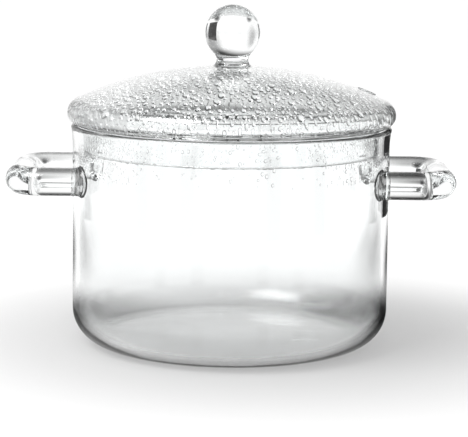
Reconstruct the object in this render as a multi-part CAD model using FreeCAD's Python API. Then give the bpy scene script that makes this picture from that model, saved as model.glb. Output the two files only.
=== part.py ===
import FreeCAD, Part
import math
import os

from FreeCAD import Vector

# A blown glass saucepan with a domed glass lid, in millimetres.
# The base stands on Z = 0, the axis of the pot is Z, and the two side handles lie along X.

# ---- pot body -----------------------------------------------------------------------
BODY_RADIUS = 80.0          # outside of the straight wall
BODY_WALL = 3.0
BASE_THICKNESS = 4.0
CORNER_RADIUS = 18.0        # outside corner between the base and the wall
BODY_HEIGHT = 111.0         # to the top of the fire-polished rim
RIM_FLARE = 0.8             # how far the rim leans out from the straight wall
RIM_FLARE_HEIGHT = 10.0     # the stretch of wall that leans out

# ---- side handles -------------------------------------------------------------------
HANDLE_ROD = 14.0           # diameter of the glass rod
HANDLE_DROP = 26.2          # from the rim's top down to the centre of the rod
HANDLE_ARM_SPACING = 62.0   # between the centres of the two arms of one loop
HANDLE_PROJECTION = 32.0    # from the straight wall to the outside of the loop
HANDLE_BEND_RADIUS = 12.0   # centre line of the two bends, seen from above
FOOT_FILLET = 3.0           # glass drawn up round each arm where it is fused to the wall
FOOT_SINK = 0.8             # how deep that fillet starts below the wall, for a blunt edge

# ---- lid ----------------------------------------------------------------------------
LID_WALL = 2.5
LID_OVERHANG = 2.0          # how far the lid's widest ring stands out past the rim
LID_SHOULDER = 7.4          # radius from the dome down to the widest ring
LID_UNDERCURL = 5.6         # radius from the widest ring in to the ledge that sits on the rim
LID_SEAT_GAP = 0.3          # clearance between the lid's undercurl and the rim
DOME_RADIUS = 186.0         # outside radius of the dome's sphere
SKIRT_CLEARANCE = 2.5       # radial, between the locating skirt and the bore of the pot
SKIRT_DEPTH = 13.3          # from the ledge down to the rounded lower edge
SKIRT_FILLET = 1.5          # outside radius between the ledge and the skirt
VENT_DIAMETER = 7.0
VENT_EDGE = 0.6             # the flame-softened edges of the vent
VENT_INSET = 13.8           # from the lid's widest ring in to the vent, measured level
VENT_ANGLE = 8.0            # degrees round from +X towards +Y

# ---- knob ---------------------------------------------------------------------------
KNOB_RADIUS = 14.0          # the solid glass ball
KNOB_WAIST_RADIUS = 8.0     # narrowest place between the ball and the dome
KNOB_WAIST_CURVE = 4.0      # radius of the hollow curve round the waist
KNOB_LIFT = 2.9             # from the top of the dome up to the narrowest place

# ---- what follows from those ----------------------------------------------------------
BORE_RADIUS = BODY_RADIUS - BODY_WALL
WALL_MIDDLE = BODY_RADIUS - BODY_WALL / 2
RIM_ROUND = BODY_WALL / 2
RIM_RADIUS = WALL_MIDDLE + RIM_FLARE
RIM_CENTRE_Z = BODY_HEIGHT - RIM_ROUND
HANDLE_Z = BODY_HEIGHT - HANDLE_DROP
LID_RADIUS = RIM_RADIUS + RIM_ROUND + LID_OVERHANG


def on_circle(centre, radius, degrees):
    """A point in the X-Z half plane, at an angle up from +X round a centre (x, z)."""
    angle = math.radians(degrees)
    return Vector(centre[0] + radius * math.cos(angle), 0, centre[1] + radius * math.sin(angle))


def arc(centre, radius, start, end):
    """A circular edge in the X-Z half plane, from one angle to another in degrees."""
    points = [on_circle(centre, radius, angle) for angle in (start, (start + end) / 2, end)]
    return Part.Arc(*points).toShape()


def line(start, end):
    return Part.LineSegment(start, end).toShape()


def joined(pieces):
    """Arcs and lines in order, with a straight edge closing any gap between neighbours."""
    edges = []
    for index, piece in enumerate(pieces):
        edges.append(piece)
        here = piece.lastVertex(True).Point
        there = pieces[(index + 1) % len(pieces)].firstVertex(True).Point
        if (there - here).Length > 1e-6:
            edges.append(line(here, there))
    return edges


def turned(pieces):
    """The solid of revolution about Z of a closed outline in the X-Z half plane."""
    face = Part.Face(Part.Wire(Part.__sortEdges__(joined(pieces))))
    return face.revolve(Vector(0, 0, 0), Vector(0, 0, 1), 360)


def pot_body():
    """A flat-bottomed cylinder, rounded into its base, with a slightly flared round rim."""
    flare_radius = (RIM_FLARE_HEIGHT ** 2 + RIM_FLARE ** 2) / (2 * RIM_FLARE)
    flare_angle = math.degrees(math.asin(RIM_FLARE_HEIGHT / flare_radius))
    flare_centre = (WALL_MIDDLE + flare_radius, RIM_CENTRE_Z - RIM_FLARE_HEIGHT)
    rim_centre = (RIM_RADIUS, RIM_CENTRE_Z)
    inside_corner = CORNER_RADIUS - BODY_WALL
    return turned([
        line(Vector(0, 0, 0), Vector(BODY_RADIUS - CORNER_RADIUS, 0, 0)),
        arc((BODY_RADIUS - CORNER_RADIUS, CORNER_RADIUS), CORNER_RADIUS, -90, 0),
        arc(flare_centre, flare_radius - RIM_ROUND, 180, 180 - flare_angle),
        arc(rim_centre, RIM_ROUND, -flare_angle, 180 - flare_angle),
        arc(flare_centre, flare_radius + RIM_ROUND, 180 - flare_angle, 180),
        arc((BORE_RADIUS - inside_corner, BASE_THICKNESS + inside_corner), inside_corner, 0, -90),
        line(Vector(BORE_RADIUS - inside_corner, 0, BASE_THICKNESS), Vector(0, 0, BASE_THICKNESS)),
    ])


def side_handle(side):
    """One loop of solid rod, cut to the wall, with its two feet flared onto the glass."""
    rod = HANDLE_ROD / 2
    reach = BODY_RADIUS + HANDLE_PROJECTION - rod
    spread = HANDLE_ARM_SPACING / 2
    bend = HANDLE_BEND_RADIUS
    wall_x = math.sqrt(BODY_RADIUS ** 2 - (spread + rod) ** 2)
    start = wall_x - 2 * rod                        # the arms begin well inside the wall
    diagonal = bend * (1 - math.sqrt(0.5))          # the middle of a bend, in from its corner

    def point(x, y):
        return Vector(side * x, y, HANDLE_Z)

    path = Part.Wire([
        line(point(start, -spread), point(reach - bend, -spread)),
        Part.Arc(point(reach - bend, -spread), point(reach - diagonal, -spread + diagonal),
                 point(reach, -spread + bend)).toShape(),
        line(point(reach, -spread + bend), point(reach, spread - bend)),
        Part.Arc(point(reach, spread - bend), point(reach - diagonal, spread - diagonal),
                 point(reach - bend, spread)).toShape(),
        line(point(reach - bend, spread), point(start, spread)),
    ])
    section = Part.Wire(Part.makeCircle(rod, point(start, -spread), Vector(side, 0, 0)))
    loop = path.makePipeShell([section], True, False)

    height = 4 * HANDLE_ROD
    bottom = Vector(0, 0, HANDLE_Z - height / 2)
    core_radius = BODY_RADIUS - FOOT_SINK
    core = Part.makeCylinder(core_radius, height, bottom)
    fused = core.fuse(loop)
    feet = [edge for edge in fused.Edges if is_foot(edge, core_radius)]
    flared = fused.makeFillet(FOOT_FILLET, feet)
    return flared.cut(Part.makeCylinder(BODY_RADIUS, height, bottom))


def is_foot(edge, radius):
    """True for an edge where a handle's arm runs into a cylinder of this radius."""
    bounds = edge.BoundBox
    on_wall = all(abs(math.hypot(p.x, p.y) - radius) < 0.01 for p in edge.discretize(9))
    return on_wall and 0 < bounds.ZLength < 2 * HANDLE_ROD and bounds.YLength < 2 * HANDLE_ROD


def lid_outline():
    """Centres and angles that the lid's outer and inner walls share."""
    across = RIM_RADIUS - (LID_RADIUS - LID_UNDERCURL)
    level = RIM_CENTRE_Z + math.sqrt((LID_UNDERCURL + RIM_ROUND + LID_SEAT_GAP) ** 2 - across ** 2)
    shoulder = (LID_RADIUS - LID_SHOULDER, level)
    slope = math.degrees(math.asin(shoulder[0] / (DOME_RADIUS - LID_SHOULDER)))
    dome_z = level - (DOME_RADIUS - LID_SHOULDER) * math.cos(math.radians(slope))
    return {
        "dome": (0, dome_z),
        "slope": slope,
        "shoulder": shoulder,
        "undercurl": (LID_RADIUS - LID_UNDERCURL, level),
        "ledge_z": level - LID_UNDERCURL,
        "top_z": dome_z + DOME_RADIUS,
    }


def lid_shell():
    """A dome that curls under to a ledge on the rim and then turns down as a skirt."""
    shape = lid_outline()
    skirt_outer = BORE_RADIUS - SKIRT_CLEARANCE
    turn = (skirt_outer + SKIRT_FILLET, shape["ledge_z"] - SKIRT_FILLET)
    edge_round = LID_WALL / 2
    edge_centre = (skirt_outer - edge_round, shape["ledge_z"] - SKIRT_DEPTH + edge_round)
    top = 90 - shape["slope"]
    inside = LID_WALL
    shell = turned([
        arc(shape["dome"], DOME_RADIUS, 90, top),
        arc(shape["shoulder"], LID_SHOULDER, top, 0),
        arc(shape["undercurl"], LID_UNDERCURL, 0, -90),
        arc(turn, SKIRT_FILLET, 90, 180),
        arc(edge_centre, edge_round, 0, -180),
        arc(turn, SKIRT_FILLET + inside, 180, 90),
        arc(shape["undercurl"], LID_UNDERCURL - inside, -90, 0),
        arc(shape["shoulder"], LID_SHOULDER - inside, 0, top),
        arc(shape["dome"], DOME_RADIUS - inside, top, 90),
    ])
    return vented(shell, shape)


def vented(shell, shape):
    """The lid with its steam vent, square to the dome and rounded at both of its edges."""
    lean = math.asin((LID_RADIUS - VENT_INSET) / DOME_RADIUS)
    angle = math.radians(VENT_ANGLE)
    outward = Vector(math.sin(lean) * math.cos(angle), math.sin(lean) * math.sin(angle), math.cos(lean))
    centre = Vector(0, 0, shape["dome"][1])
    start = centre + outward * (DOME_RADIUS - 3 * LID_WALL)
    pierced = shell.cut(Part.makeCylinder(VENT_DIAMETER / 2, 5 * LID_WALL, start, outward))
    middle = centre + outward * (DOME_RADIUS - LID_WALL / 2)
    rims = [edge for edge in pierced.Edges
            if (edge.BoundBox.Center - middle).Length < LID_WALL and edge.Length < 4 * VENT_DIAMETER
            and edge.isClosed()]
    return pierced.makeFillet(VENT_EDGE, rims)


def lid_knob():
    """A solid ball on a short waist, its foot seated on the top of the dome."""
    shape = lid_outline()
    waist_z = shape["top_z"] + KNOB_LIFT
    waist = (KNOB_WAIST_RADIUS + KNOB_WAIST_CURVE, waist_z)
    between = KNOB_RADIUS + KNOB_WAIST_CURVE
    ball = (0, waist_z + math.sqrt(between ** 2 - waist[0] ** 2))
    touch = math.degrees(math.atan2(waist_z - ball[1], waist[0]))
    foot = foot_angle(waist, shape)
    foot_point = on_circle(waist, KNOB_WAIST_CURVE, foot)
    lean = math.degrees(math.asin(foot_point.x / DOME_RADIUS))
    return turned([
        arc(shape["dome"], DOME_RADIUS, 90, 90 - lean),
        arc(waist, KNOB_WAIST_CURVE, foot, touch + 180),
        arc(ball, KNOB_RADIUS, touch, 90),
    ])


def foot_angle(waist, shape):
    """The angle round the waist curve's centre at which it meets the dome."""
    low, high = 180.0, 270.0
    for _ in range(60):
        middle = (low + high) / 2
        point = on_circle(waist, KNOB_WAIST_CURVE, middle)
        above = math.hypot(point.x, point.z - shape["dome"][1]) > DOME_RADIUS
        low, high = (middle, high) if above else (low, middle)
    return (low + high) / 2


def main():
    os.makedirs("parts", exist_ok=True)
    parts = {
        "pot_body": pot_body(),
        "handle_left": side_handle(-1),
        "handle_right": side_handle(1),
        "lid_shell": lid_shell(),
        "lid_knob": lid_knob(),
    }
    for name, shape in parts.items():
        solid, = shape.Solids
        solid.exportStep("parts/" + name + ".step")
        box = solid.optimalBoundingBox()
        print(name, "valid" if solid.isValid() else "INVALID", round(solid.Volume), "mm3,",
              "from", [round(v, 2) for v in (box.XMin, box.YMin, box.ZMin)],
              "to", [round(v, 2) for v in (box.XMax, box.YMax, box.ZMax)])


main()
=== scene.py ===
import math
import random

import bmesh
import bpy
from mathutils import Matrix, Vector, noise


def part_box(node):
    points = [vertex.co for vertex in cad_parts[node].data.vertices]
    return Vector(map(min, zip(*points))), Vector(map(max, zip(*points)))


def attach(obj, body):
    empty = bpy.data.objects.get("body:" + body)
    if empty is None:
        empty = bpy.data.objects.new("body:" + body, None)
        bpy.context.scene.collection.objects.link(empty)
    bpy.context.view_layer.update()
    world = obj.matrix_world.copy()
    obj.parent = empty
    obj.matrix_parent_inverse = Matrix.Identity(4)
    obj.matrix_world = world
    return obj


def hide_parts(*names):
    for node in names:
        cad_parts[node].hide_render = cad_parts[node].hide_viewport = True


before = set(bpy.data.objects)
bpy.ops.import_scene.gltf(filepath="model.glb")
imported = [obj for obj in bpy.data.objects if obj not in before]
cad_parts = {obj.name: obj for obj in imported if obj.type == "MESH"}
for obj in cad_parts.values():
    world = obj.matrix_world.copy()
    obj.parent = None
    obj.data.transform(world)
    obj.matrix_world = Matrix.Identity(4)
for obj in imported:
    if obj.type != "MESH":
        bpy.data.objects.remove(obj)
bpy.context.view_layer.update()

mm = 0.001


# ---------------------------------------------------------------------------------------
# The studio: a glowing white sweep with a painted grey shadow pool under and round the pot, one large
# soft light from the upper left and a ring of dark cards. Clear glass shows only what it bends or
# mirrors, so the painted shadow pool and the cards are what draws its edges.
# ---------------------------------------------------------------------------------------
def add(tree, kind, inputs=(), **settings):
    """Adds a node. inputs maps its sockets to plain values or to other nodes' output sockets."""
    node = tree.nodes.new(kind)
    for name, value in settings.items():
        setattr(node, name, value)
    for socket, value in dict(inputs).items():
        if isinstance(value, bpy.types.NodeSocket):
            tree.links.new(value, node.inputs[socket])
        else:
            node.inputs[socket].default_value = value
    return node


def colour(text):
    """An sRGB hex colour, as linear RGBA."""
    channels = [int(text[i:i + 2], 16) / 255 for i in (0, 2, 4)]
    return [c / 12.92 if c <= 0.04045 else ((c + 0.055) / 1.055) ** 2.4 for c in channels] + [1]


LENS_DISTANCE = 1.0
LENS_ELEVATION = math.radians(8.97)
LENS_ROLL = math.radians(0.7)
AIM = Vector((1.8 * mm, 0, 62.7 * mm))

lens = bpy.data.cameras.new("lens")
lens.lens = 151.3
lens.sensor_width = 36
lens.clip_start = 0.05
camera = bpy.data.objects.new("camera", lens)
bpy.context.scene.collection.objects.link(camera)
away = Vector((0, -math.cos(LENS_ELEVATION), math.sin(LENS_ELEVATION)))
turn = (-away).to_track_quat("-Z", "Y").to_matrix() @ Matrix.Rotation(LENS_ROLL, 3, "Z")
camera.matrix_world = Matrix.Translation(AIM + away * LENS_DISTANCE) @ turn.to_4x4()
bpy.context.scene.camera = camera

# The sweep lies a hair below the pot, which leaves room for the flat cards under its glass base.
SWEEP_RADIUS = 6.0
SWEEP_DROP = 0.3 * mm
sweep_mesh = bpy.data.meshes.new("sweep")
bm = bmesh.new()
bmesh.ops.create_circle(bm, cap_ends=True, segments=96, radius=SWEEP_RADIUS,
                        matrix=Matrix.Translation((0, 0, -SWEEP_DROP)))
bm.to_mesh(sweep_mesh)
bm.free()
sweep = bpy.data.objects.new("sweep", sweep_mesh)
bpy.context.scene.collection.objects.link(sweep)

# White paper that glows evenly, with painted shadow: its glow is greyer in a wide pool round the pot,
# its middle a little to the right, and greyer again right under it as a painted contact shadow.
SHADOW_POOL_CENTRE = Vector((15 * mm, 10 * mm, 0))
SHADOW_POOL_RADIUS = 40 * mm
SHADOW_POOL_EDGE = 250 * mm
SHADOW_POOL_GLOW = 0.47
SWEEP_GLOW = 0.95
SHADE_RADIUS = 35 * mm
SHADE_EDGE = 88 * mm
SHADE = 0.45
paper = bpy.data.materials.new("white_sweep_with_painted_shadow")
paper.use_nodes = True
sheet = paper.node_tree.nodes["Principled BSDF"]
place = add(paper.node_tree, "ShaderNodeTexCoord")
off_shadow_pool = add(paper.node_tree, "ShaderNodeVectorMath", {0: place.outputs["Object"], 1: SHADOW_POOL_CENTRE},
               operation="DISTANCE")
shadow_pool = add(paper.node_tree, "ShaderNodeMapRange",
           {"Value": off_shadow_pool.outputs["Value"], "From Min": SHADOW_POOL_RADIUS, "From Max": SHADOW_POOL_EDGE,
            "To Min": SHADOW_POOL_GLOW, "To Max": SWEEP_GLOW}, interpolation_type="SMOOTHSTEP")
# Painted contact shadow: the paper's glow drops to SHADE right under the pot.
off_pot = add(paper.node_tree, "ShaderNodeVectorMath", {0: place.outputs["Object"]}, operation="LENGTH")
under = add(paper.node_tree, "ShaderNodeMapRange",
            {"Value": off_pot.outputs["Value"], "From Min": SHADE_RADIUS, "From Max": SHADE_EDGE,
             "To Min": SHADE, "To Max": 1.0}, interpolation_type="SMOOTHSTEP")
glow = add(paper.node_tree, "ShaderNodeMath", {0: shadow_pool.outputs[0], 1: under.outputs[0]}, operation="MULTIPLY")
paper.node_tree.links.new(glow.outputs[0], sheet.inputs["Emission Strength"])
sheet.inputs["Emission Color"].default_value = colour("FFFFFF")
sheet.inputs["Base Color"].default_value = colour("7C7C7C")
sheet.inputs["Roughness"].default_value = 0.9
sheet.inputs["Specular IOR Level"].default_value = 0.0
sweep_mesh.materials.append(paper)


# Matt cards that the lens never sees. Small ones stand round the table, black on the right and
# grey on the left. Soft-edged ovals stand behind, lie under the handles and lie behind the pot.
def card(name, grey, frames, soft=False):
    """Unit squares laid by their matrices, of one grey. A soft one is an oval that fades outwards."""
    mesh = bpy.data.meshes.new(name)
    bm = bmesh.new()
    for laid in frames:
        bmesh.ops.create_grid(bm, x_segments=1, y_segments=1, size=0.5, matrix=laid)
    bm.to_mesh(mesh)
    bm.free()
    paint = bpy.data.materials.new(name)
    paint.use_nodes = True
    matt = paint.node_tree.nodes["Principled BSDF"]
    matt.inputs["Base Color"].default_value = colour(grey)
    matt.inputs["Roughness"].default_value = 1.0
    matt.inputs["Specular IOR Level"].default_value = 0.0
    if soft:
        move, turn, size = frames[0].decompose()
        place = add(paint.node_tree, "ShaderNodeTexCoord")
        own = add(paint.node_tree, "ShaderNodeMapping",
                  {0: place.outputs["Object"], "Location": move, "Rotation": turn.to_euler(), "Scale": size},
                  vector_type="TEXTURE")
        level = add(paint.node_tree, "ShaderNodeVectorMath", {0: own.outputs[0], 1: Vector((1, 1, 0))},
                    operation="MULTIPLY")
        off_middle = add(paint.node_tree, "ShaderNodeVectorMath", {0: level.outputs[0]}, operation="LENGTH")
        thin = add(paint.node_tree, "ShaderNodeMapRange",
                   {"Value": off_middle.outputs["Value"], "From Min": 0.08, "From Max": 0.5,
                    "To Min": 1.0, "To Max": 0.0}, interpolation_type="SMOOTHSTEP")
        paint.node_tree.links.new(thin.outputs[0], matt.inputs["Alpha"])
    mesh.materials.append(paint)
    board = bpy.data.objects.new(name, mesh)
    bpy.context.scene.collection.objects.link(board)
    board.visible_camera = board.visible_diffuse = board.visible_shadow = False


def standing(turn, distance, width, height):
    """A frame standing on the table at a turn in degrees from straight behind the pot towards +X."""
    return (Matrix.Rotation(-math.radians(turn), 4, "Z") @ Matrix.Translation((0, distance, height / 2))
            @ Matrix.Rotation(math.pi / 2, 4, "X") @ Matrix.Diagonal((width, height, 1, 1)))


def lying(x, y, z, turn, width, length):
    """A frame lying on the table, its place in mm and its turn in degrees about Z."""
    return (Matrix.Translation((x * mm, y * mm, z * mm)) @ Matrix.Rotation(math.radians(turn), 4, "Z")
            @ Matrix.Diagonal((width, length, 1, 1)))


RING = 0.46
CARD_WIDTH = 0.085
CARD_HEIGHT = 0.23
card("black_cards", "272727", [standing(34.5, RING, 0.18, CARD_HEIGHT)]
     + [standing(turn, RING, CARD_WIDTH, CARD_HEIGHT) for turn in (61.5, 118.5, 151.5)])
card("grey_cards", "7C7C7C",
     [standing(turn, RING, CARD_WIDTH, CARD_HEIGHT) for turn in (-61.5, -118.5, -151.5)])
# Painted shadow: soft dark ovals on the table under the handles, seen only through the glass.
card("right_painted_shadow_card", "595959", [lying(122, 50, -0.05, 0, 0.26, 0.26)], soft=True)
card("left_painted_shadow_card", "767676", [lying(-118, 40, -0.10, 0, 0.22, 0.22)], soft=True)
card("right_grey_card", "818181", [standing(41, 0.5, 0.62, 0.56)], soft=True)
card("left_grey_card", "BCBCBC", [standing(-32, RING, 0.24, 0.40)], soft=True)
card("right_long_card", "454545", [lying(152, 265, -0.15, -13, 0.13, 0.46)], soft=True)
card("left_long_card", "6F6F6F", [lying(-160, 275, -0.20, 16, 0.11, 0.42)], soft=True)

# The room is white to well above the table and dark only overhead, most of all to the right.
CAP_LEAN = math.radians(14)
DARK_OVERHEAD = Vector((math.sin(CAP_LEAN), 0, math.cos(CAP_LEAN)))
room = bpy.data.worlds.new("studio_room")
room.use_nodes = True
tree = room.node_tree
tree.nodes.clear()
look = add(tree, "ShaderNodeTexCoord")
high = add(tree, "ShaderNodeVectorMath", {0: look.outputs["Generated"], 1: DARK_OVERHEAD},
           operation="DOT_PRODUCT")
shine = add(tree, "ShaderNodeMapRange", {"Value": high.outputs["Value"], "From Min": 0.30, "From Max": 0.62,
                                         "To Min": 1.1, "To Max": 0.02}, interpolation_type="SMOOTHSTEP")
light = add(tree, "ShaderNodeBackground", {"Color": (1, 1, 1, 1), "Strength": shine.outputs[0]})
add(tree, "ShaderNodeOutputWorld", {"Surface": light.outputs[0]})
bpy.context.scene.world = room

softbox = bpy.data.lights.new("softbox", "AREA")
softbox.shape = "RECTANGLE"
softbox.size = 0.9
softbox.size_y = 0.7
softbox.energy = 22
box_lamp = bpy.data.objects.new("softbox", softbox)
bpy.context.scene.collection.objects.link(box_lamp)
box_place = Vector((-0.75, -0.55, 1.25))
box_lamp.matrix_world = (Matrix.Translation(box_place)
                         @ (AIM - box_place).to_track_quat("-Z", "Y").to_matrix().to_4x4())

bpy.context.scene.view_settings.view_transform = "Standard"
bpy.context.scene.cycles.max_bounces = 40
bpy.context.scene.cycles.transmission_bounces = 36
bpy.context.scene.cycles.glossy_bounces = 8


# ---------------------------------------------------------------------------------------
# The pot: one blown cylinder of clear borosilicate with a flat base and a round bottom
# corner. The rim was cut, leaned out a little and melted round in the flame.
# ---------------------------------------------------------------------------------------
def arc(centre, radius, start, end, steps):
    """Points (r, z) on an arc about a centre, by angles in degrees up from the level."""
    turns = [math.radians(start + (end - start) * i / steps) for i in range(steps + 1)]
    return [(centre[0] + radius * math.cos(t), centre[1] + radius * math.sin(t)) for t in turns]


def straight(start, end, steps):
    """Points between two (r, z) points, without the two themselves."""
    shares = [i / steps for i in range(1, steps)]
    return [(start[0] + (end[0] - start[0]) * s, start[1] + (end[1] - start[1]) * s) for s in shares]


def spun(outline, segments=256):
    """A bmesh of an outline of (r, z) points turned about Z, from the axis back to the axis or closed."""
    shape = bmesh.new()
    points = [shape.verts.new((r, 0, z)) for r, z in outline]
    edges = [shape.edges.new(pair) for pair in zip(points, points[1:])]
    if outline[0][0] > 1e-9:
        edges.append(shape.edges.new((points[-1], points[0])))
    bmesh.ops.spin(shape, geom=points + edges, cent=(0, 0, 0), axis=(0, 0, 1), dvec=(0, 0, 0),
                   angle=2 * math.pi, steps=segments, use_merge=True)
    bmesh.ops.remove_doubles(shape, verts=shape.verts, dist=1e-7)
    bmesh.ops.recalc_face_normals(shape, faces=shape.faces)
    return shape


def finished(shape, name, material, slot, body, *nodes):
    """Turns a bmesh into a smooth piece with its material, riding on a body."""
    for face in shape.faces:
        face.smooth = True
    mesh = bpy.data.meshes.new(name)
    shape.to_mesh(mesh)
    shape.free()
    mesh.materials.append(material)
    piece = bpy.data.objects.new(name, mesh)
    bpy.context.scene.collection.objects.link(piece)
    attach(piece, body)
    if nodes:
        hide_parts(*nodes)


def clear_glass(name, ripple_mm, ripple_depth_mm):
    """Flame-worked borosilicate: clear, with a faint slow ripple, drawn out along the axis."""
    material = bpy.data.materials.new(name)
    material.use_nodes = True
    tree = material.node_tree
    glass = tree.nodes["Principled BSDF"]
    glass.inputs["Base Color"].default_value = colour("FDFEFE")
    glass.inputs["Roughness"].default_value = 0.0
    glass.inputs["IOR"].default_value = 1.473
    glass.inputs["Transmission Weight"].default_value = 1.0
    place = add(tree, "ShaderNodeTexCoord")
    drawn = add(tree, "ShaderNodeMapping", {"Vector": place.outputs["Object"], "Scale": (1, 1, 0.45)})
    ripple = add(tree, "ShaderNodeTexNoise", {"Vector": drawn.outputs[0], "Scale": 1 / (ripple_mm * mm),
                                              "Detail": 1.0, "Roughness": 0.4})
    bump = add(tree, "ShaderNodeBump", {"Height": ripple.outputs[0], "Strength": 1.0,
                                        "Distance": ripple_depth_mm * mm})
    tree.links.new(bump.outputs[0], glass.inputs["Normal"])
    return material


pot_high = Vector(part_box("pot_body")[1])
POT_WALL = 3 * mm
POT_BASE = 4 * mm
RIM_FLARE = 0.8 * mm
RIM_FLARE_HEIGHT = 10 * mm
POT_CORNER = 18 * mm
POT_RADIUS = pot_high.x - RIM_FLARE
POT_BORE = POT_RADIUS - POT_WALL
RIM_ROUND = POT_WALL / 2
rim_centre = (pot_high.x - RIM_ROUND, pot_high.z - RIM_ROUND)
flare_radius = (RIM_FLARE_HEIGHT ** 2 + RIM_FLARE ** 2) / (2 * RIM_FLARE)
flare_turn = math.degrees(math.asin(RIM_FLARE_HEIGHT / flare_radius))
flare_centre = (POT_RADIUS - RIM_ROUND + flare_radius, rim_centre[1] - RIM_FLARE_HEIGHT)
inner_corner = POT_CORNER - POT_WALL
corner_outside = (POT_RADIUS - POT_CORNER, POT_CORNER)
corner_inside = (POT_BORE - inner_corner, POT_BASE + inner_corner)
RIM_START = flare_centre[1]
outline = [(0, 0)] + straight((0, 0), (corner_outside[0], 0), 8)
outline += arc(corner_outside, POT_CORNER, -90, 0, 16)
outline += straight((POT_RADIUS, POT_CORNER), (POT_RADIUS, RIM_START), 22)
outline += arc(flare_centre, flare_radius - RIM_ROUND, 180, 180 - flare_turn, 8)[:-1]
outline += arc(rim_centre, RIM_ROUND, -flare_turn, 180 - flare_turn, 14)
outline += arc(flare_centre, flare_radius + RIM_ROUND, 180 - flare_turn, 180, 8)[1:]
outline += straight((POT_BORE, RIM_START), (POT_BORE, corner_inside[1]), 22)
outline += arc(corner_inside, inner_corner, 0, -90, 14)
outline += straight((corner_inside[0], POT_BASE), (0, POT_BASE), 8) + [(0, POT_BASE)]

# Blown glass: its ripple bends what is seen through the wall a little, in long waves.
body_glass = clear_glass("blown_borosilicate_body", ripple_mm=26, ripple_depth_mm=0.10)
finished(spun(outline), "pot_wall", body_glass, "body_glass", "pot", "pot_body")


# ---------------------------------------------------------------------------------------
# The side handles: loops of solid borosilicate rod, bent in the flame, their two hot ends
# pressed onto the wall so that the glass draws up round each foot.
# ---------------------------------------------------------------------------------------
FUSED_DEPTH = 0.05 * mm
FOOT_FILLET = 3 * mm
FOOT_SINK = 0.8 * mm
BEND_RADIUS = 12 * mm
handle_low, handle_high = (Vector(corner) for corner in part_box("handle_right"))
ROD = 7 * mm
ARM_Y = 31 * mm
HANDLE_Z = (handle_low.z + handle_high.z) / 2
REACH = handle_high.x - ROD


def foot_flare(off_wall):
    """How far the glass stands out round the rod, at a distance off the wall."""
    rise = FOOT_FILLET - FOOT_SINK - off_wall
    if rise <= 0:
        return 0
    return FOOT_FILLET - math.sqrt(FOOT_FILLET ** 2 - rise ** 2)


def foot_ring(ring, off_wall, share=1.0):
    """Lays a ring of points round the arm's axis, or a share of the way out, following the wall."""
    spread = (ROD + foot_flare(max(off_wall, 0))) * share
    for point, turn in ring:
        point.co.y = -ARM_Y + spread * math.cos(turn)
        point.co.z = HANDLE_Z + spread * math.sin(turn)
        point.co.x = math.sqrt(POT_RADIUS ** 2 - point.co.y ** 2) + off_wall
    return ring


def side_handle(side):
    """One loop, built as its front half from the foot to the middle and then mirrored."""
    shape = bmesh.new()
    segments = 48
    start = bmesh.ops.create_circle(shape, segments=segments, radius=ROD)["verts"]
    ring = [(point, 2 * math.pi * i / segments) for i, point in enumerate(start)]
    foot_ring(ring, -FUSED_DEPTH)
    foot = list(ring)

    def longer(old):
        """Extrudes the edges between old points, and gives the new points and edges."""
        edges = [e for e in shape.edges if all(v in old for v in e.verts)]
        new = bmesh.ops.extrude_edge_only(shape, edges=edges)["geom"]
        points = [g for g in new if isinstance(g, bmesh.types.BMVert)]
        lines = [g for g in new if isinstance(g, bmesh.types.BMEdge)]
        return points, [line for line in lines if all(v in points for v in line.verts)]

    def matched(points, ring):
        """Pairs new points with the turns of the ring they came from."""
        found = []
        for point in points:
            came_from = [e.other_vert(point) for e in point.link_edges]
            found += [(point, turn) for old, turn in ring if old in came_from]
        return found

    for off_wall in (0.25 * mm, 0.55 * mm, 0.9 * mm, 1.4 * mm, 2.2 * mm, 3.2 * mm):
        points, edges = longer({point for point, _ in ring})
        ring = foot_ring(matched(points, ring), off_wall)
    straight_end = REACH - BEND_RADIUS
    last_x = [point.co.x for point, _ in ring]
    for step in range(1, 7):
        points, edges = longer({point for point, _ in ring})
        new_ring = matched(points, ring)
        for (point, _), x in zip(new_ring, last_x):
            point.co.x = x + (straight_end - x) * step / 6
        ring = new_ring
    points = [point for point, _ in ring]
    bent = bmesh.ops.spin(shape, geom=points + edges, cent=(straight_end, -ARM_Y + BEND_RADIUS, HANDLE_Z),
                          axis=(0, 0, 1), dvec=(0, 0, 0), angle=math.pi / 2, steps=14)["geom_last"]
    points = {g for g in bent if isinstance(g, bmesh.types.BMVert)}
    to_middle = ARM_Y - BEND_RADIUS
    for step in range(1, 6):
        points, edges = longer(points)
        bmesh.ops.translate(shape, verts=points, vec=(0, to_middle / 5, 0))
        points = set(points)

    inner = foot
    for share in (0.8, 0.55, 0.3, 0.1):
        points, _ = longer({point for point, _ in inner})
        inner = foot_ring(matched(points, inner), -FUSED_DEPTH, share)
    bmesh.ops.contextual_create(shape, geom=[point for point, _ in inner])
    half = shape.verts[:] + shape.edges[:] + shape.faces[:]
    bmesh.ops.mirror(shape, geom=half, matrix=Matrix.Identity(4), merge_dist=1e-6, axis="Y")
    if side < 0:
        bmesh.ops.rotate(shape, cent=(0, 0, 0), matrix=Matrix.Rotation(math.pi, 3, "Z"), verts=shape.verts)
    bmesh.ops.remove_doubles(shape, verts=shape.verts, dist=1e-6)
    bmesh.ops.recalc_face_normals(shape, faces=shape.faces)
    for edge in shape.edges:
        fused = [abs(v.co.xy.length - (POT_RADIUS - FUSED_DEPTH)) < 0.004 * mm for v in edge.verts]
        alike = len({len(f.verts) for f in edge.link_faces}) == 1
        if all(fused) and alike and edge.calc_face_angle(0) > 0.6:
            edge.smooth = False
    return shape


# Solid rod was drawn and bent by hand: a strong lens with dark edges, its ripple finer than the wall's.
rod_glass = clear_glass("solid_borosilicate_rod", ripple_mm=14, ripple_depth_mm=0.05)
for node, side in (("handle_right", 1), ("handle_left", -1)):
    finished(side_handle(side), node.replace("handle", "rod_loop"), rod_glass, "rod_glass", "pot", node)


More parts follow.
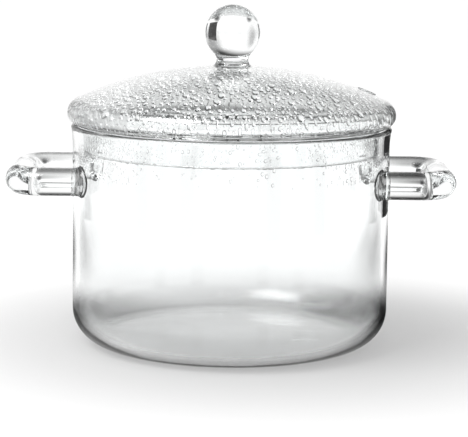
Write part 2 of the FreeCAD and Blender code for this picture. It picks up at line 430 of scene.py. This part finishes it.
# ---------------------------------------------------------------------------------------
# The lid: a blown dome whose edge curls under to a ledge that sits on the rim and then
# turns down as a skirt inside the mouth. One steam vent was pierced through it while hot.
# ---------------------------------------------------------------------------------------
lid_low, lid_high = (Vector(corner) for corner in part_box("lid_shell"))
LID_WALL = 2.5 * mm
LID_SHOULDER = 7.4 * mm
LID_UNDERCURL = 5.6 * mm
SEAT_GAP = 0.3 * mm
DOME_RADIUS = 186 * mm
SKIRT_RADIUS = POT_BORE - 2.5 * mm
SKIRT_FILLET = 1.5 * mm
VENT_RADIUS = 3.5 * mm
VENT_INSET = 13.8 * mm
VENT_TURN = math.radians(8)
across = rim_centre[0] - (lid_high.x - LID_UNDERCURL)
seat_z = rim_centre[1] + math.sqrt((LID_UNDERCURL + RIM_ROUND + SEAT_GAP) ** 2 - across ** 2)
shoulder = (lid_high.x - LID_SHOULDER, seat_z)
undercurl = (lid_high.x - LID_UNDERCURL, seat_z)
dome_lean = math.asin(shoulder[0] / (DOME_RADIUS - LID_SHOULDER))
DOME_Z = seat_z - (DOME_RADIUS - LID_SHOULDER) * math.cos(dome_lean)
DOME_BORE = DOME_RADIUS - LID_WALL
dome_edge = 90 - math.degrees(dome_lean)
LEDGE_Z = seat_z - LID_UNDERCURL
skirt_turn = (SKIRT_RADIUS + SKIRT_FILLET, LEDGE_Z - SKIRT_FILLET)
skirt_edge = (SKIRT_RADIUS - LID_WALL / 2, lid_low.z + LID_WALL / 2)
outline = arc((0, DOME_Z), DOME_RADIUS, 90, dome_edge, 44)
outline += arc(shoulder, LID_SHOULDER, dome_edge, 0, 12)[1:]
outline += arc(undercurl, LID_UNDERCURL, 0, -90, 14)[1:]
outline += arc(skirt_turn, SKIRT_FILLET, 90, 180, 7)
outline += straight((SKIRT_RADIUS, skirt_turn[1]), (SKIRT_RADIUS, skirt_edge[1]), 8)
outline += arc(skirt_edge, LID_WALL / 2, 0, -180, 12)
outline += straight((SKIRT_RADIUS - LID_WALL, skirt_edge[1]), (SKIRT_RADIUS - LID_WALL, skirt_turn[1]), 8)
outline += arc(skirt_turn, SKIRT_FILLET + LID_WALL, 180, 90, 9)
outline += arc(undercurl, LID_UNDERCURL - LID_WALL, -90, 0, 12)
outline += arc(shoulder, LID_SHOULDER - LID_WALL, 0, dome_edge, 12)[1:]
outline += arc((0, DOME_Z), DOME_BORE, dome_edge, 90, 44)[1:]
outline[0] = (0, outline[0][1])
outline[-1] = (0, outline[-1][1])

lid = spun(outline)
vent_lean = math.asin((lid_high.x - VENT_INSET) / DOME_RADIUS)
vent_axis = Vector((math.sin(vent_lean) * math.cos(VENT_TURN), math.sin(vent_lean) * math.sin(VENT_TURN),
                    math.cos(vent_lean)))
dome_centre = Vector((0, 0, DOME_Z))


def off_vent(point):
    """How far a point is from the vent's axis."""
    return (point - dome_centre).cross(vent_axis).length


# The flame left the hole a thick round lip, inside and out: radius and height of each ring of it.
LIP_RADIUS = VENT_RADIUS + 1.8 * mm
LIP_RINGS = [(LIP_RADIUS, 0), (LIP_RADIUS - 0.25 * mm, 0.35 * mm), (LIP_RADIUS - 0.6 * mm, 0.62 * mm),
             (LIP_RADIUS - 1.0 * mm, 0.7 * mm), (LIP_RADIUS - 1.4 * mm, 0.55 * mm),
             (VENT_RADIUS + 0.1 * mm, 0.15 * mm), (VENT_RADIUS, -0.5 * mm)]
cut = [face for face in lid.faces if off_vent(face.calc_center_median()) < LIP_RADIUS
       and (face.calc_center_median() - dome_centre).dot(vent_axis) > 0.9 * DOME_BORE]
bmesh.ops.delete(lid, geom=cut, context="FACES")
hole_rims = []
for level, side in ((DOME_RADIUS, 1), (DOME_BORE, -1)):
    loop = [edge for edge in lid.edges if edge.is_boundary and edge not in hole_rims
            and abs((edge.verts[0].co - dome_centre).length - level) < LID_WALL / 2]
    for ring, (wide, proud) in enumerate(LIP_RINGS):
        if ring:
            grown = bmesh.ops.extrude_edge_only(lid, edges=loop)["geom"]
            loop = [edge for edge in grown if isinstance(edge, bmesh.types.BMEdge) and edge.is_boundary]
        for point in {v for edge in loop for v in edge.verts}:
            outward = point.co - dome_centre
            sideways = (outward - vent_axis * outward.dot(vent_axis)).normalized() * wide
            point.co = dome_centre + sideways + vent_axis * (math.sqrt(level ** 2 - wide ** 2) + side * proud)
    hole_rims += loop
bmesh.ops.bridge_loops(lid, edges=hole_rims)
bmesh.ops.recalc_face_normals(lid, faces=lid.faces)

# Blown glass again, misted by steam: strongly in the groove inside the edge, wherever no water lies
# in it, and only faintly on the inside of the dome, which softens what is seen far behind it.
lid_glass = clear_glass("blown_borosilicate_lid", ripple_mm=22, ripple_depth_mm=0.10)
GROOVE = Vector((undercurl[0] - 0.8 * mm, seat_z, 0))
GROOVE_REACH = 5.2 * mm
GROOVE_MIST = 0.32
DOME_MIST = 0.07
# Where the groove's water lies, in degrees from the front towards +X.
BEAD_ARCS = [(-37, -19.5), (-18.2, -0.8), (1.8, 74)]
WET_FROM = math.radians(BEAD_ARCS[0][0])
WET_TO = math.radians(BEAD_ARCS[-1][1])
tree = lid_glass.node_tree
place = add(tree, "ShaderNodeTexCoord")
parts = add(tree, "ShaderNodeSeparateXYZ", {0: place.outputs["Object"]})
level = add(tree, "ShaderNodeVectorMath", {0: place.outputs["Object"], 1: Vector((1, 1, 0))},
            operation="MULTIPLY")
outwards = add(tree, "ShaderNodeVectorMath", {0: level.outputs[0]}, operation="LENGTH")
section = add(tree, "ShaderNodeCombineXYZ", {0: outwards.outputs["Value"], 1: parts.outputs["Z"]})
off_groove = add(tree, "ShaderNodeVectorMath", {0: section.outputs[0], 1: GROOVE}, operation="DISTANCE")
in_groove = add(tree, "ShaderNodeMath", {0: off_groove.outputs["Value"], 1: GROOVE_REACH},
                operation="LESS_THAN")
to_front = add(tree, "ShaderNodeMath", {0: parts.outputs["Y"], 1: -1.0}, operation="MULTIPLY")
round_lid = add(tree, "ShaderNodeMath", {0: parts.outputs["X"], 1: to_front.outputs[0]}, operation="ARCTAN2")
from_wet = add(tree, "ShaderNodeMath", {0: round_lid.outputs[0], 1: (WET_FROM + WET_TO) / 2},
               operation="SUBTRACT")
off_wet = add(tree, "ShaderNodeMath", {0: from_wet.outputs[0]}, operation="ABSOLUTE")
dry = add(tree, "ShaderNodeMath", {0: off_wet.outputs[0], 1: (WET_TO - WET_FROM) / 2},
          operation="GREATER_THAN")
misted = add(tree, "ShaderNodeMath", {0: in_groove.outputs[0], 1: dry.outputs[0]}, operation="MULTIPLY")
groove_mist = add(tree, "ShaderNodeMath", {0: misted.outputs[0], 1: GROOVE_MIST}, operation="MULTIPLY")
off_centre = add(tree, "ShaderNodeVectorMath", {0: place.outputs["Object"], 1: dome_centre},
                 operation="DISTANCE")
inner = add(tree, "ShaderNodeMath", {0: off_centre.outputs["Value"], 1: DOME_BORE + 0.5 * mm},
            operation="LESS_THAN")
above = add(tree, "ShaderNodeMath", {0: parts.outputs["Z"], 1: seat_z + 3 * mm}, operation="GREATER_THAN")
in_dome = add(tree, "ShaderNodeMath", {0: inner.outputs[0], 1: above.outputs[0]}, operation="MULTIPLY")
dome_mist = add(tree, "ShaderNodeMath", {0: in_dome.outputs[0], 1: DOME_MIST}, operation="MULTIPLY")
mist = add(tree, "ShaderNodeMath", {0: groove_mist.outputs[0], 1: dome_mist.outputs[0]}, operation="MAXIMUM")
tree.links.new(mist.outputs[0], tree.nodes["Principled BSDF"].inputs["Roughness"])
finished(lid, "lid_dome", lid_glass, "lid_glass", "lid", "lid_shell")


# ---------------------------------------------------------------------------------------
# The knob: a solid ball of borosilicate gathered on a rod in the flame, necked in below and
# fused to the crown of the dome.
# ---------------------------------------------------------------------------------------
knob_high = Vector(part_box("lid_knob")[1])
KNOB_RADIUS = knob_high.x
WAIST_RADIUS = 8 * mm
WAIST_CURVE = 4 * mm
ball = (0, knob_high.z - KNOB_RADIUS)
waist_r = WAIST_RADIUS + WAIST_CURVE
waist = (waist_r, ball[1] - math.sqrt((KNOB_RADIUS + WAIST_CURVE) ** 2 - waist_r ** 2))
touch = math.degrees(math.atan2(waist[1] - ball[1], waist[0]))
sunk = DOME_RADIUS - FUSED_DEPTH
to_centre = math.hypot(waist[0], waist[1] - DOME_Z)
bend = math.acos((WAIST_CURVE ** 2 + to_centre ** 2 - sunk ** 2) / (2 * WAIST_CURVE * to_centre))
foot_turn = math.degrees(math.atan2(DOME_Z - waist[1], -waist[0]) - bend) + 360
foot_r = waist[0] + WAIST_CURVE * math.cos(math.radians(foot_turn))
foot_edge = 90 - math.degrees(math.asin(foot_r / sunk))
outline = arc((0, DOME_Z), sunk, 90, foot_edge, 8)
foot_corner = len(outline) - 1
outline += arc(waist, WAIST_CURVE, foot_turn, touch + 180, 16)[1:]
outline += arc(ball, KNOB_RADIUS, touch, 90, 44)[1:]
outline[0] = (0, outline[0][1])
outline[-1] = (0, outline[-1][1])
corner_height = outline[foot_corner][1]
knob = spun(outline, segments=128)
for edge in knob.edges:
    if all(abs(v.co.z - corner_height) < 1e-6 and v.co.xy.length > foot_r * 0.99 for v in edge.verts):
        edge.smooth = False
# Solid glass: a strong lens that turns the room upside down, almost without ripple.
knob_glass = clear_glass("solid_borosilicate_ball", ripple_mm=18, ripple_depth_mm=0.04)
finished(knob, "knob_ball", knob_glass, "knob_glass", "lid", "lid_knob")


# ---------------------------------------------------------------------------------------
# Condensation: steam has left water all over the inside of the dome. It is a fine dew round
# the crown, larger drops lower down where they have run together, and tracks near the edge.
# ---------------------------------------------------------------------------------------
def water(name):
    """Clean water: clear and smooth, and bending light less than the glass it lies on."""
    material = bpy.data.materials.new(name)
    material.use_nodes = True
    wet = material.node_tree.nodes["Principled BSDF"]
    wet.inputs["Base Color"].default_value = colour("FFFFFF")
    wet.inputs["Roughness"].default_value = 0.0
    wet.inputs["IOR"].default_value = 1.333
    wet.inputs["Transmission Weight"].default_value = 1.0
    return material


def drop_shape(name, segments, rings, contact):
    """One drop of unit radius on a level surface at Z = 0, meeting it at the contact angle."""
    shape = bmesh.new()
    bmesh.ops.create_uvsphere(shape, u_segments=segments, v_segments=rings, radius=1)
    level = math.cos(math.radians(contact))
    cut = bmesh.ops.bisect_plane(shape, geom=shape.verts[:] + shape.edges[:] + shape.faces[:],
                                 plane_co=(0, 0, level), plane_no=(0, 0, 1), clear_inner=True, dist=1e-5)
    edge = [g for g in cut["geom_cut"] if isinstance(g, bmesh.types.BMEdge)]
    bmesh.ops.contextual_create(shape, geom=edge)
    for line in edge:
        line.smooth = False
    bmesh.ops.translate(shape, verts=shape.verts, vec=(0, 0, -level))
    bmesh.ops.scale(shape, verts=shape.verts, vec=(1 / math.sin(math.radians(contact)),) * 3)
    bmesh.ops.recalc_face_normals(shape, faces=shape.faces)
    for face in shape.faces:
        face.smooth = True
    mesh = bpy.data.meshes.new(name)
    shape.to_mesh(mesh)
    shape.free()
    return mesh


def laid_drops(drops, pattern):
    """One copy of the drop for each (place, normal, downhill, radius, stretch, height, lean)."""
    shape = bmesh.new()
    for place, normal, downhill, radius, stretch, height, lean in drops:
        sideways = normal.cross(downhill)
        columns = (downhill * radius * stretch, sideways * radius / math.sqrt(stretch),
                   normal * radius * height + downhill * radius * lean)
        matrix = Matrix((columns[0], columns[1], columns[2])).transposed().to_4x4()
        matrix.translation = place - normal * FUSED_DEPTH
        one = pattern.copy()
        one.transform(matrix)
        shape.from_mesh(one)
        bpy.data.meshes.remove(one)
    return shape


class Spread:
    """Keeps drops from touching: a grid of what has been laid, by place on a surface."""

    def __init__(self, cell):
        self.cell = cell
        self.taken = {}

    def fits(self, u, v, radius, gap):
        """Takes the place if nothing that is already laid comes within the gap."""
        key = (int(u // self.cell), int(v // self.cell))
        for i in range(key[0] - 1, key[0] + 2):
            for j in range(key[1] - 1, key[1] + 2):
                for a, b, other in self.taken.get((i, j), ()):
                    if (a - u) ** 2 + (b - v) ** 2 < (radius + other + gap) ** 2:
                        return False
        self.taken.setdefault(key, []).append((u, v, radius))
        return True


DOME_RUN = DOME_BORE * dome_lean
SHOULDER_BORE = LID_SHOULDER - LID_WALL


def inside_lid(along, turn):
    """Place, normal and downhill on the lid's inner wall, by the way along it from the crown."""
    if along < DOME_RUN:
        lean = along / DOME_BORE
        far, high = DOME_BORE * math.sin(lean), DOME_Z + DOME_BORE * math.cos(lean)
    else:
        lean = dome_lean + (along - DOME_RUN) / SHOULDER_BORE
        far, high = shoulder[0] + SHOULDER_BORE * math.sin(lean), shoulder[1] + SHOULDER_BORE * math.cos(lean)
    level = Vector((math.cos(turn), math.sin(turn), 0))
    up = Vector((0, 0, 1))
    normal = -(level * math.sin(lean) + up * math.cos(lean))
    return level * far + up * high, normal, level * math.cos(lean) - up * math.sin(lean)


dew = water("water_condensed_on_lid")
small_drop = drop_shape("small_drop", 8, 10, 70)
large_drop = drop_shape("large_drop", 10, 12, 74)
dice = random.Random(4)
spread = Spread(8 * mm)
DEW_INNER = 11 * mm
DEW_OUTER = DOME_RUN + 8.0 * mm
vent_spot = Vector((math.cos(VENT_TURN), math.sin(VENT_TURN))) * DOME_BORE * vent_lean
# Kind, how many are tried, the smallest and largest radius and the least gap in millimetres.
DEW = [("track", 260, 0.6, 0.95, 0.4), ("large", 420, 1.5, 2.3, 0.3), ("medium", 9000, 0.9, 1.5, 0.12),
       ("fine", 14000, 0.45, 0.8, 0.1)]
laid = {kind: [] for kind, *_ in DEW}
for kind, tries, smallest, largest, gap in DEW:
    for _ in range(tries):
        along = math.sqrt(dice.uniform(DEW_INNER ** 2, DEW_OUTER ** 2))
        turn = dice.uniform(-math.pi, math.pi)
        spot = Vector((along * math.cos(turn), along * math.sin(turn)))
        in_front = max(0, -math.sin(turn)) ** 3
        outwards = (along - DEW_INNER) / (DEW_OUTER - DEW_INNER)
        patch = noise.noise(Vector((spot.x, spot.y, 0)) / (13 * mm)) + 0.5
        likely = {"large": outwards * (1 - outwards) * 4, "track": in_front * (outwards > 0.62),
                  "medium": 0.3 + 0.9 * outwards, "fine": 1.3 - 0.3 * outwards}[kind]
        if kind != "track":
            likely *= (1 - 0.55 * in_front * max(0, outwards - 0.8) / 0.2) * (0.5 + 1.0 * patch)
        radius = dice.uniform(smallest, largest) * mm
        stretch = dice.uniform(3.0, 6.0) if kind == "track" else dice.uniform(0.9, 1.2 + 0.6 * outwards)
        room_for = radius * math.sqrt(stretch)
        if (spot - vent_spot).length < LIP_RADIUS + room_for + 0.5 * mm:
            continue
        if dice.random() > likely or not spread.fits(spot.x, spot.y, room_for, gap * mm):
            continue
        laid[kind].append((*inside_lid(along, turn), radius, stretch, dice.uniform(0.75, 1.05),
                           dice.uniform(0.05, 0.35)))
finished(laid_drops(laid["large"] + laid["track"], large_drop), "dew_large", dew, "lid_glass", "lid")
DROPS_IN_A_PIECE = 2400
small_ones = laid["medium"] + laid["fine"]
for start in range(0, len(small_ones), DROPS_IN_A_PIECE):
    finished(laid_drops(small_ones[start:start + DROPS_IN_A_PIECE], small_drop),
             f"dew_{start // DROPS_IN_A_PIECE + 1}", dew, "lid_glass", "lid")


# ---------------------------------------------------------------------------------------
# Water caught in the lid's groove: where the dome curls under, the run-off lies as a bead of
# water on the ledge, broken in a few places.
# ---------------------------------------------------------------------------------------
BEAD_TAPER = 2.2
BEAD_BULGE = 0.5 * mm
bead_outer = arc(undercurl, LID_UNDERCURL - LID_WALL + FUSED_DEPTH, -28, -90, 8)
bead_inner = arc(skirt_turn, SKIRT_FILLET + LID_WALL - FUSED_DEPTH, 90, 122, 5)
from_r, from_z = bead_inner[-1]
to_r, to_z = bead_outer[0]
free_surface = []
for step in range(1, 9):
    share = step / 9
    lift = 4 * BEAD_BULGE * share * (1 - share)
    free_surface.append((from_r + (to_r - from_r) * share, from_z + (to_z - from_z) * share + lift))
section = bead_outer + bead_inner + free_surface
bead = bmesh.new()
for begin, end in BEAD_ARCS:
    part = bmesh.new()
    points = [part.verts.new((0, -r, z)) for r, z in section]
    edges = [part.edges.new((points[i - 1], points[i])) for i in range(len(points))]
    bmesh.ops.rotate(part, cent=(0, 0, 0), matrix=Matrix.Rotation(math.radians(begin), 3, "Z"), verts=points)
    swept = bmesh.ops.spin(part, geom=points + edges, cent=(0, 0, 0), axis=(0, 0, 1), dvec=(0, 0, 0),
                           angle=math.radians(end - begin), steps=max(10, int((end - begin) / 1.1)))
    last = [g for g in swept["geom_last"] if isinstance(g, bmesh.types.BMEdge)]
    bmesh.ops.contextual_create(part, geom=edges)
    bmesh.ops.contextual_create(part, geom=last)
    for point in part.verts:
        turn = math.degrees(math.atan2(point.co.x, -point.co.y))
        turn = turn if turn > begin - 1 else turn + 360
        to_end = min(1.0, min(turn - begin, end - turn) / BEAD_TAPER)
        waver = 0.93 + 0.12 * noise.noise(Vector((turn / 7, 0, 0)))
        keep = 0.12 + 0.88 * math.sqrt(max(0.0, to_end)) * waver
        r = point.co.xy.length
        new_r = undercurl[0] + (r - undercurl[0]) * keep
        point.co.x *= new_r / r
        point.co.y *= new_r / r
        floor_z = LEDGE_Z + LID_WALL - FUSED_DEPTH
        point.co.z = floor_z + (point.co.z - floor_z) * keep
    bmesh.ops.recalc_face_normals(part, faces=part.faces)
    one = bpy.data.meshes.new("bead_part")
    part.to_mesh(one)
    part.free()
    bead.from_mesh(one)
    bpy.data.meshes.remove(one)
finished(bead, "groove_water", dew, "lid_glass", "lid")


# ---------------------------------------------------------------------------------------
# Dew on the upright glass: fine drops on the inside of the skirt and on the wall of the pot
# round it, thicker towards the handles, with small beads hanging from the skirt's edge.
# ---------------------------------------------------------------------------------------
FINE_DROP = 0.35
COARSE_DROP = 1.0
FINE_GAP = 0.1 * mm


def upright(radius, turn, z):
    """Place on the inside of an upright round wall, with the normal out of the glass and the way down."""
    level = Vector((math.cos(turn), math.sin(turn), 0))
    return level * radius + Vector((0, 0, z)), -level, Vector((0, 0, -1))


def upright_dew(radius, low, high, tries, side_share):
    """Drops scattered over a band of a round wall, fewer at the front and back than at the sides."""
    spread = Spread(4 * mm)
    drops = []
    for _ in range(tries):
        turn = dice.uniform(-math.pi, math.pi)
        z = dice.uniform(low, high)
        at_side = max(0, abs(math.cos(turn)) - 0.5) / 0.5
        patch = noise.noise(Vector((turn * 6, z / (8 * mm), radius * 90))) + 0.5
        size = FINE_DROP + (COARSE_DROP - FINE_DROP) * dice.random() ** 2
        if dice.random() > (1 - side_share + side_share * at_side) * (0.3 + 1.2 * patch):
            continue
        if spread.fits(turn * radius, z, size * mm, FINE_GAP):
            drops.append((*upright(radius, turn, z), size * mm, dice.uniform(0.9, 1.5),
                          dice.uniform(0.6, 0.9), dice.uniform(0.05, 0.3)))
    return drops


skirt_top = skirt_turn[1] - 0.5 * mm
skirt_drops = upright_dew(SKIRT_RADIUS - LID_WALL, skirt_edge[1] + 0.8 * mm, skirt_top, 5000, 0.85)
edge_beads = []
for _ in range(70):
    turn = dice.uniform(-math.pi, math.pi)
    level = Vector((math.cos(turn), math.sin(turn), 0))
    place = level * skirt_edge[0] + Vector((0, 0, skirt_edge[1] - LID_WALL / 2))
    around = level.cross(Vector((0, 0, 1)))
    edge_beads.append((place, Vector((0, 0, -1)), around, dice.uniform(0.5, 1.0) * mm, dice.uniform(1.0, 1.6),
                       dice.uniform(0.5, 0.8), 0.0))
finished(laid_drops(skirt_drops + edge_beads, small_drop), "dew_skirt", dew, "lid_glass", "lid")

wall_dew = water("water_condensed_on_wall")
WALL_DEW_LOW = 88 * mm
wall_drops = upright_dew(POT_BORE, WALL_DEW_LOW, RIM_START, 4500, 0.97)
finished(laid_drops(wall_drops, small_drop), "dew_wall", wall_dew, "body_glass", "pot")
